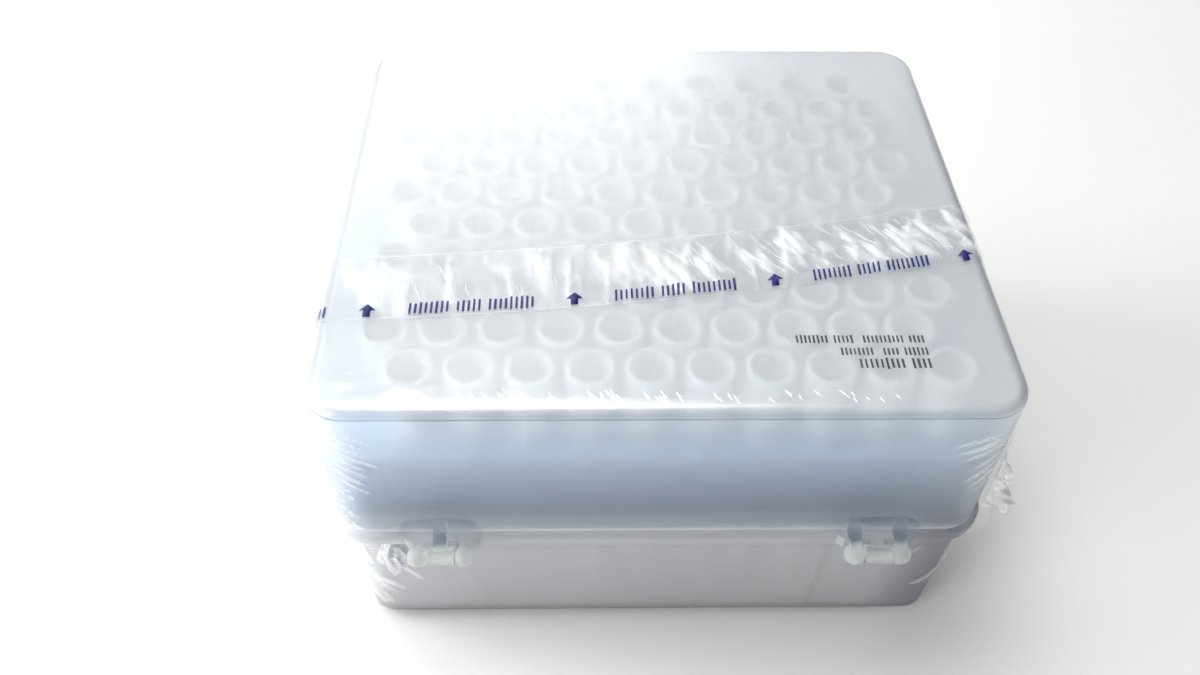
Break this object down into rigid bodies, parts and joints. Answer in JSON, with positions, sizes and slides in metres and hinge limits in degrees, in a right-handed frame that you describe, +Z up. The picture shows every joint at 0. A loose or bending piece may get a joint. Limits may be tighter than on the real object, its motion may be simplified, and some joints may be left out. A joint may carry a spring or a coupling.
{
  "type": "hinged box of pipette tips",
  "caption": "Frosted, hinged plastic box with staggered rows of pipette tips hanging in a rack, in clear shrink film with a pull tape across the lid.",
  "frame": {"origin": "middle of the underside, on the bench", "axes": "+Z up; -Y the hinge side; +Y the side where the lid opens; +X along the hinges"},
  "size_m": [0.1379, 0.1227, 0.0757],
  "materials": {
    "frosted_lid": "frosted, translucent",
    "frosted_base": "frosted, translucent",
    "rack": "satin",
    "tips": "smooth, translucent",
    "film": "clear, glossy",
    "tape": "clear, glossy"
  },
  "bodies": {
    "base": {"base_tray": "frosted_base", "tip_rack": "rack", "tip_row_01": "tips", "tip_row_02": "tips", "tip_row_03": "tips", "tip_row_04": "tips", "tip_row_05": "tips", "tip_row_06": "tips", "tip_row_07": "tips", "tip_row_08": "tips", "tip_row_09": "tips", "tip_row_10": "tips", "base_film": "film", "pull_tape_base": "tape"},
    "lid": {"lid": "frosted_lid", "lid_film": "film", "pull_tape_lid": "tape"}
  },
  "joints": [
    {"name": "lid_hinge", "type": "hinge", "parent": "base", "child": "lid", "pos_m": [0, -0.06195, 0.0362], "axis": [1, 0, 0], "range_deg": [0, 160]}
  ]
}
